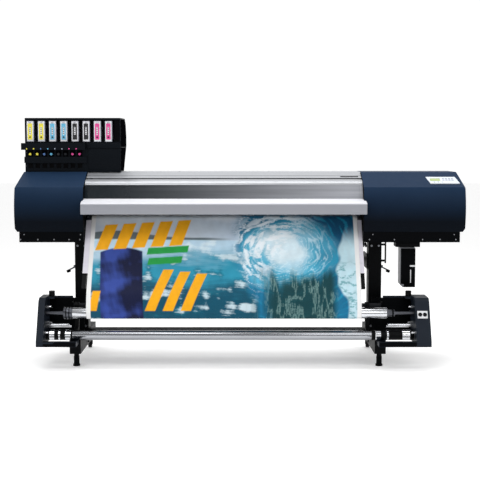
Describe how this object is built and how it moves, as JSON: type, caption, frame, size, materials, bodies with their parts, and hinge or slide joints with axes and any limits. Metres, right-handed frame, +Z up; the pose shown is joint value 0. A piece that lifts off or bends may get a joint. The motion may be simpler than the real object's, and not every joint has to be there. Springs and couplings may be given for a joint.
{
  "type": "wide-format roll printer cutter",
  "caption": "Wide roll-fed printer cutter on a two-leg stand with a hinged front cover, scanning carriages, an ink cabinet, an apron and a powered take-up unit.",
  "frame": {"origin": "on the floor under the middle of the machine's bounding box", "axes": "+X along the machine to the right seen from the front, +Y to the rear, +Z up; the front is -Y"},
  "size_m": [2.708, 0.81, 1.485],
  "materials": {
    "black_frame": "satin",
    "zinc": "satin",
    "caster_metal": "satin",
    "caster_rubber": "matte",
    "chassis_paint": "satin",
    "tray_black": "matte",
    "navy_shell": "satin",
    "silver_cover": "satin",
    "apron_white": "satin",
    "platen_grey": "anodised",
    "rail_aluminium": "satin",
    "station_grey": "matte",
    "inlet_black": "matte",
    "smoked_window": "clear smoked",
    "panel_grey": "satin",
    "carriage_grey": "satin",
    "polished_steel": "polished",
    "belt_black": "matte",
    "motor_black": "satin",
    "roller_steel": "ground",
    "pinch_metal": "satin",
    "roller_rubber": "matte",
    "media_white": "semi-gloss",
    "media_print": "semi-gloss",
    "flange_black": "satin",
    "box_slate": "satin",
    "core_board": "matte",
    "tube_silver": "brushed",
    "shaft_grey": "satin",
    "button_black": "satin",
    "lever_chrome": "polished",
    "bottle_grey": "translucent",
    "cabinet_black": "satin",
    "tray_white": "satin"
  },
  "bodies": {
    "frame": {"left_leg": "black_frame", "right_leg": "black_frame", "stand_crossbar": "black_frame", "chassis_beam": "chassis_paint", "left_tray": "tray_black", "right_tray": "tray_black", "left_housing": "navy_shell", "right_housing": "navy_shell", "top_cover": "silver_cover", "apron": "apron_white", "platen": "platen_grey", "carriage_rail": "rail_aluminium", "capping_station": "station_grey", "power_unit": "inlet_black", "operation_panel": "panel_grey", "scan_belt": "belt_black", "scan_motor": "motor_black", "supply_brackets": "black_frame", "takeup_left_box": "box_slate", "takeup_right_box": "box_slate", "dancer_shaft": "shaft_grey", "media_web": "media_print", "ink_cabinet": "cabinet_black"},
    "left_foot": {"left_foot": "zinc"},
    "right_foot": {"right_foot": "zinc"},
    "left_caster": {"left_caster_fork": "caster_metal"},
    "right_caster": {"right_caster_fork": "caster_metal"},
    "left_wheel": {"left_caster_wheel": "caster_rubber"},
    "right_wheel": {"right_caster_wheel": "caster_rubber"},
    "front_cover": {"cover_frame": "silver_cover", "cover_window": "smoked_window"},
    "print_head": {"print_carriage": "carriage_grey"},
    "cutter": {"cutting_carriage": "carriage_grey"},
    "blade": {"blade_holder": "polished_steel"},
    "drive_pulley": {"drive_pulley": "polished_steel"},
    "idler_pulley": {"idler_pulley": "polished_steel"},
    "grit_roller": {"grit_roller": "roller_steel"},
    "pinch_arms": {"pinch_arms": "pinch_metal"},
    "pinch_rollers": {"pinch_rollers": "roller_rubber"},
    "loading_lever": {"loading_lever": "lever_chrome"},
    "supply": {"supply_roll": "media_white", "supply_flanges": "flange_black"},
    "takeup_spool": {"takeup_core": "core_board", "takeup_hubs": "polished_steel"},
    "tension": {"tension_bar": "tube_silver"},
    "forward_button": {"forward_button": "button_black"},
    "reverse_button": {"reverse_button": "button_black"},
    "left_lock_knob": {"left_lock_knob": "button_black"},
    "right_lock_knob": {"right_lock_knob": "button_black"},
    "left_clamp_lever": {"left_clamp_lever": "lever_chrome"},
    "right_clamp_lever": {"right_clamp_lever": "lever_chrome"},
    "waste_bottle": {"waste_bottle": "bottle_grey"},
    "ink_tray_1": {"ink_tray_1": "tray_white"},
    "ink_tray_2": {"ink_tray_2": "tray_white"},
    "ink_tray_3": {"ink_tray_3": "tray_white"},
    "ink_tray_4": {"ink_tray_4": "tray_white"},
    "ink_tray_5": {"ink_tray_5": "tray_white"},
    "ink_tray_6": {"ink_tray_6": "tray_white"},
    "ink_tray_7": {"ink_tray_7": "tray_white"},
    "ink_tray_8": {"ink_tray_8": "tray_white"}
  },
  "joints": [
    {"name": "left_foot_screw", "type": "slide", "parent": "frame", "child": "left_foot", "axis": [0, 0, 1], "range_m": [-0.02, 0]},
    {"name": "right_foot_screw", "type": "slide", "parent": "frame", "child": "right_foot", "axis": [0, 0, 1], "range_m": [-0.02, 0]},
    {"name": "left_caster_swivel", "type": "hinge", "parent": "frame", "child": "left_caster", "pos_m": [-0.98, 0.35, 0.078], "axis": [0, 0, 1], "continuous": true},
    {"name": "left_wheel_roll", "type": "hinge", "parent": "left_caster", "child": "left_wheel", "pos_m": [-0.98, 0.368, 0.03], "axis": [1, 0, 0], "continuous": true},
    {"name": "right_caster_swivel", "type": "hinge", "parent": "frame", "child": "right_caster", "pos_m": [0.834, 0.35, 0.078], "axis": [0, 0, 1], "continuous": true},
    {"name": "right_wheel_roll", "type": "hinge", "parent": "right_caster", "child": "right_wheel", "pos_m": [0.834, 0.368, 0.03], "axis": [1, 0, 0], "continuous": true},
    {"name": "front_cover_lift", "type": "hinge", "parent": "frame", "child": "front_cover", "pos_m": [0, -0.022, 1.104], "axis": [-1, 0, 0], "range_deg": [0, 70]},
    {"name": "print_head_scan", "type": "slide", "parent": "frame", "child": "print_head", "axis": [1, 0, 0], "range_m": [-1.9, 0]},
    {"name": "cutter_scan", "type": "slide", "parent": "frame", "child": "cutter", "axis": [1, 0, 0], "range_m": [0, 1.85]},
    {"name": "blade_drop", "type": "slide", "parent": "cutter", "child": "blade", "axis": [0, 0, 1], "range_m": [-0.003, 0], "stiffness_N_per_m": 1000},
    {"name": "drive_pulley_spin", "type": "hinge", "parent": "frame", "child": "drive_pulley", "pos_m": [1.27, 0.145, 1.066], "axis": [0, 0, 1], "range_deg": [-6860, 10]},
    {"name": "idler_pulley_spin", "type": "hinge", "parent": "frame", "child": "idler_pulley", "pos_m": [-1.285, 0.145, 1.066], "axis": [0, 0, 1], "range_deg": [-6860, 10]},
    {"name": "grit_roller_spin", "type": "hinge", "parent": "frame", "child": "grit_roller", "pos_m": [0, 0.115, 0.8732], "axis": [1, 0, 0], "continuous": true},
    {"name": "pinch_arms_lift", "type": "hinge", "parent": "frame", "child": "pinch_arms", "pos_m": [0, 0.17, 0.925], "axis": [-1, 0, 0], "range_deg": [0, 12]},
    {"name": "pinch_rollers_spin", "type": "hinge", "parent": "pinch_arms", "child": "pinch_rollers", "pos_m": [0, 0.115, 0.8963], "axis": [1, 0, 0], "continuous": true},
    {"name": "loading_lever_turn", "type": "hinge", "parent": "frame", "child": "loading_lever", "pos_m": [0.764, -0.06, 0.716], "axis": [1, 0, 0], "range_deg": [0, 60]},
    {"name": "supply_spin", "type": "hinge", "parent": "frame", "child": "supply", "pos_m": [0, 0.1902, 0.6], "axis": [1, 0, 0], "continuous": true},
    {"name": "takeup_spin", "type": "hinge", "parent": "frame", "child": "takeup_spool", "pos_m": [0, -0.3, 0.328], "axis": [1, 0, 0], "continuous": true},
    {"name": "tension_swing", "type": "hinge", "parent": "frame", "child": "tension", "pos_m": [0, -0.2, 0.36], "axis": [-1, 0, 0], "range_deg": [0, 40]},
    {"name": "forward_button_press", "type": "slide", "parent": "frame", "child": "forward_button", "axis": [0, 0.9007, -0.4345], "range_m": [0, 0.003], "stiffness_N_per_m": 300},
    {"name": "reverse_button_press", "type": "slide", "parent": "frame", "child": "reverse_button", "axis": [0, 0.9007, -0.4345], "range_m": [0, 0.003], "stiffness_N_per_m": 300},
    {"name": "left_lock_knob_turn", "type": "hinge", "parent": "frame", "child": "left_lock_knob", "pos_m": [-1.1355, -0.165, 0.42], "axis": [0, 0, 1], "range_deg": [0, 180]},
    {"name": "right_lock_knob_turn", "type": "hinge", "parent": "frame", "child": "right_lock_knob", "pos_m": [1.016, -0.165, 0.42], "axis": [0, 0, 1], "range_deg": [0, 180]},
    {"name": "left_clamp_lever_turn", "type": "hinge", "parent": "frame", "child": "left_clamp_lever", "pos_m": [-1.03, 0.06, 0.565], "axis": [1, 0, 0], "range_deg": [0, 90]},
    {"name": "right_clamp_lever_turn", "type": "hinge", "parent": "frame", "child": "right_clamp_lever", "pos_m": [0.884, 0.06, 0.565], "axis": [1, 0, 0], "range_deg": [0, 90]},
    {"name": "waste_bottle_pull", "type": "slide", "parent": "frame", "child": "waste_bottle", "axis": [0, -1, 0], "range_m": [0, 0.12]},
    {"name": "ink_tray_1_pull", "type": "slide", "parent": "frame", "child": "ink_tray_1", "axis": [0, -1, 0], "range_m": [0, 0.2]},
    {"name": "ink_tray_2_pull", "type": "slide", "parent": "frame", "child": "ink_tray_2", "axis": [0, -1, 0], "range_m": [0, 0.2]},
    {"name": "ink_tray_3_pull", "type": "slide", "parent": "frame", "child": "ink_tray_3", "axis": [0, -1, 0], "range_m": [0, 0.2]},
    {"name": "ink_tray_4_pull", "type": "slide", "parent": "frame", "child": "ink_tray_4", "axis": [0, -1, 0], "range_m": [0, 0.2]},
    {"name": "ink_tray_5_pull", "type": "slide", "parent": "frame", "child": "ink_tray_5", "axis": [0, -1, 0], "range_m": [0, 0.2]},
    {"name": "ink_tray_6_pull", "type": "slide", "parent": "frame", "child": "ink_tray_6", "axis": [0, -1, 0], "range_m": [0, 0.2]},
    {"name": "ink_tray_7_pull", "type": "slide", "parent": "frame", "child": "ink_tray_7", "axis": [0, -1, 0], "range_m": [0, 0.2]},
    {"name": "ink_tray_8_pull", "type": "slide", "parent": "frame", "child": "ink_tray_8", "axis": [0, -1, 0], "range_m": [0, 0.2]}
  ],
  "couplings": [
    {"joint": "drive_pulley_spin", "follows": "print_head_scan", "rad_per_m": 62.89},
    {"joint": "idler_pulley_spin", "follows": "print_head_scan", "rad_per_m": 62.89},
    {"joint": "pinch_rollers_spin", "follows": "grit_roller_spin", "ratio": -1.2},
    {"joint": "loading_lever_turn", "follows": "pinch_arms_lift", "ratio": 5}
  ]
}
